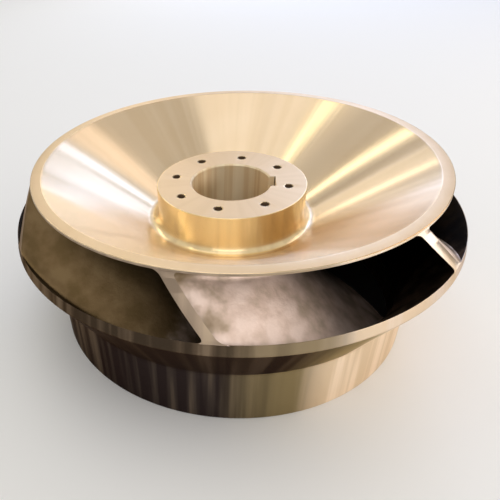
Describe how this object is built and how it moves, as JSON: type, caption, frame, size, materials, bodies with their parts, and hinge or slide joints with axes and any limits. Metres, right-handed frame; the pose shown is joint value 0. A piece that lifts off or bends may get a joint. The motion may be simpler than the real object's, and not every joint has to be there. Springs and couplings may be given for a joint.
{
  "type": "closed mixed-flow pump impeller",
  "caption": "Closed mixed-flow pump impeller in turned cast bronze, with a dished back plate, swept vanes, a conical front shroud and a suction neck.",
  "frame": {"origin": "on the shaft axis, at the bottom face of the suction neck", "axes": "+Z along the shaft axis from the suction neck to the fastening face of the boss, +X through the keyway"},
  "size_m": [0.473, 0.473, 0.183],
  "materials": {
    "turned_bronze": "polished",
    "cast_bronze": "rough cast"
  },
  "bodies": {
    "root": {"hub_boss": "turned_bronze", "hub_shroud": "turned_bronze", "front_shroud": "turned_bronze", "suction_neck": "turned_bronze", "vane_1": "cast_bronze", "vane_2": "cast_bronze", "vane_3": "cast_bronze", "vane_4": "cast_bronze", "vane_5": "cast_bronze", "vane_6": "cast_bronze"}
  },
  "joints": []
}
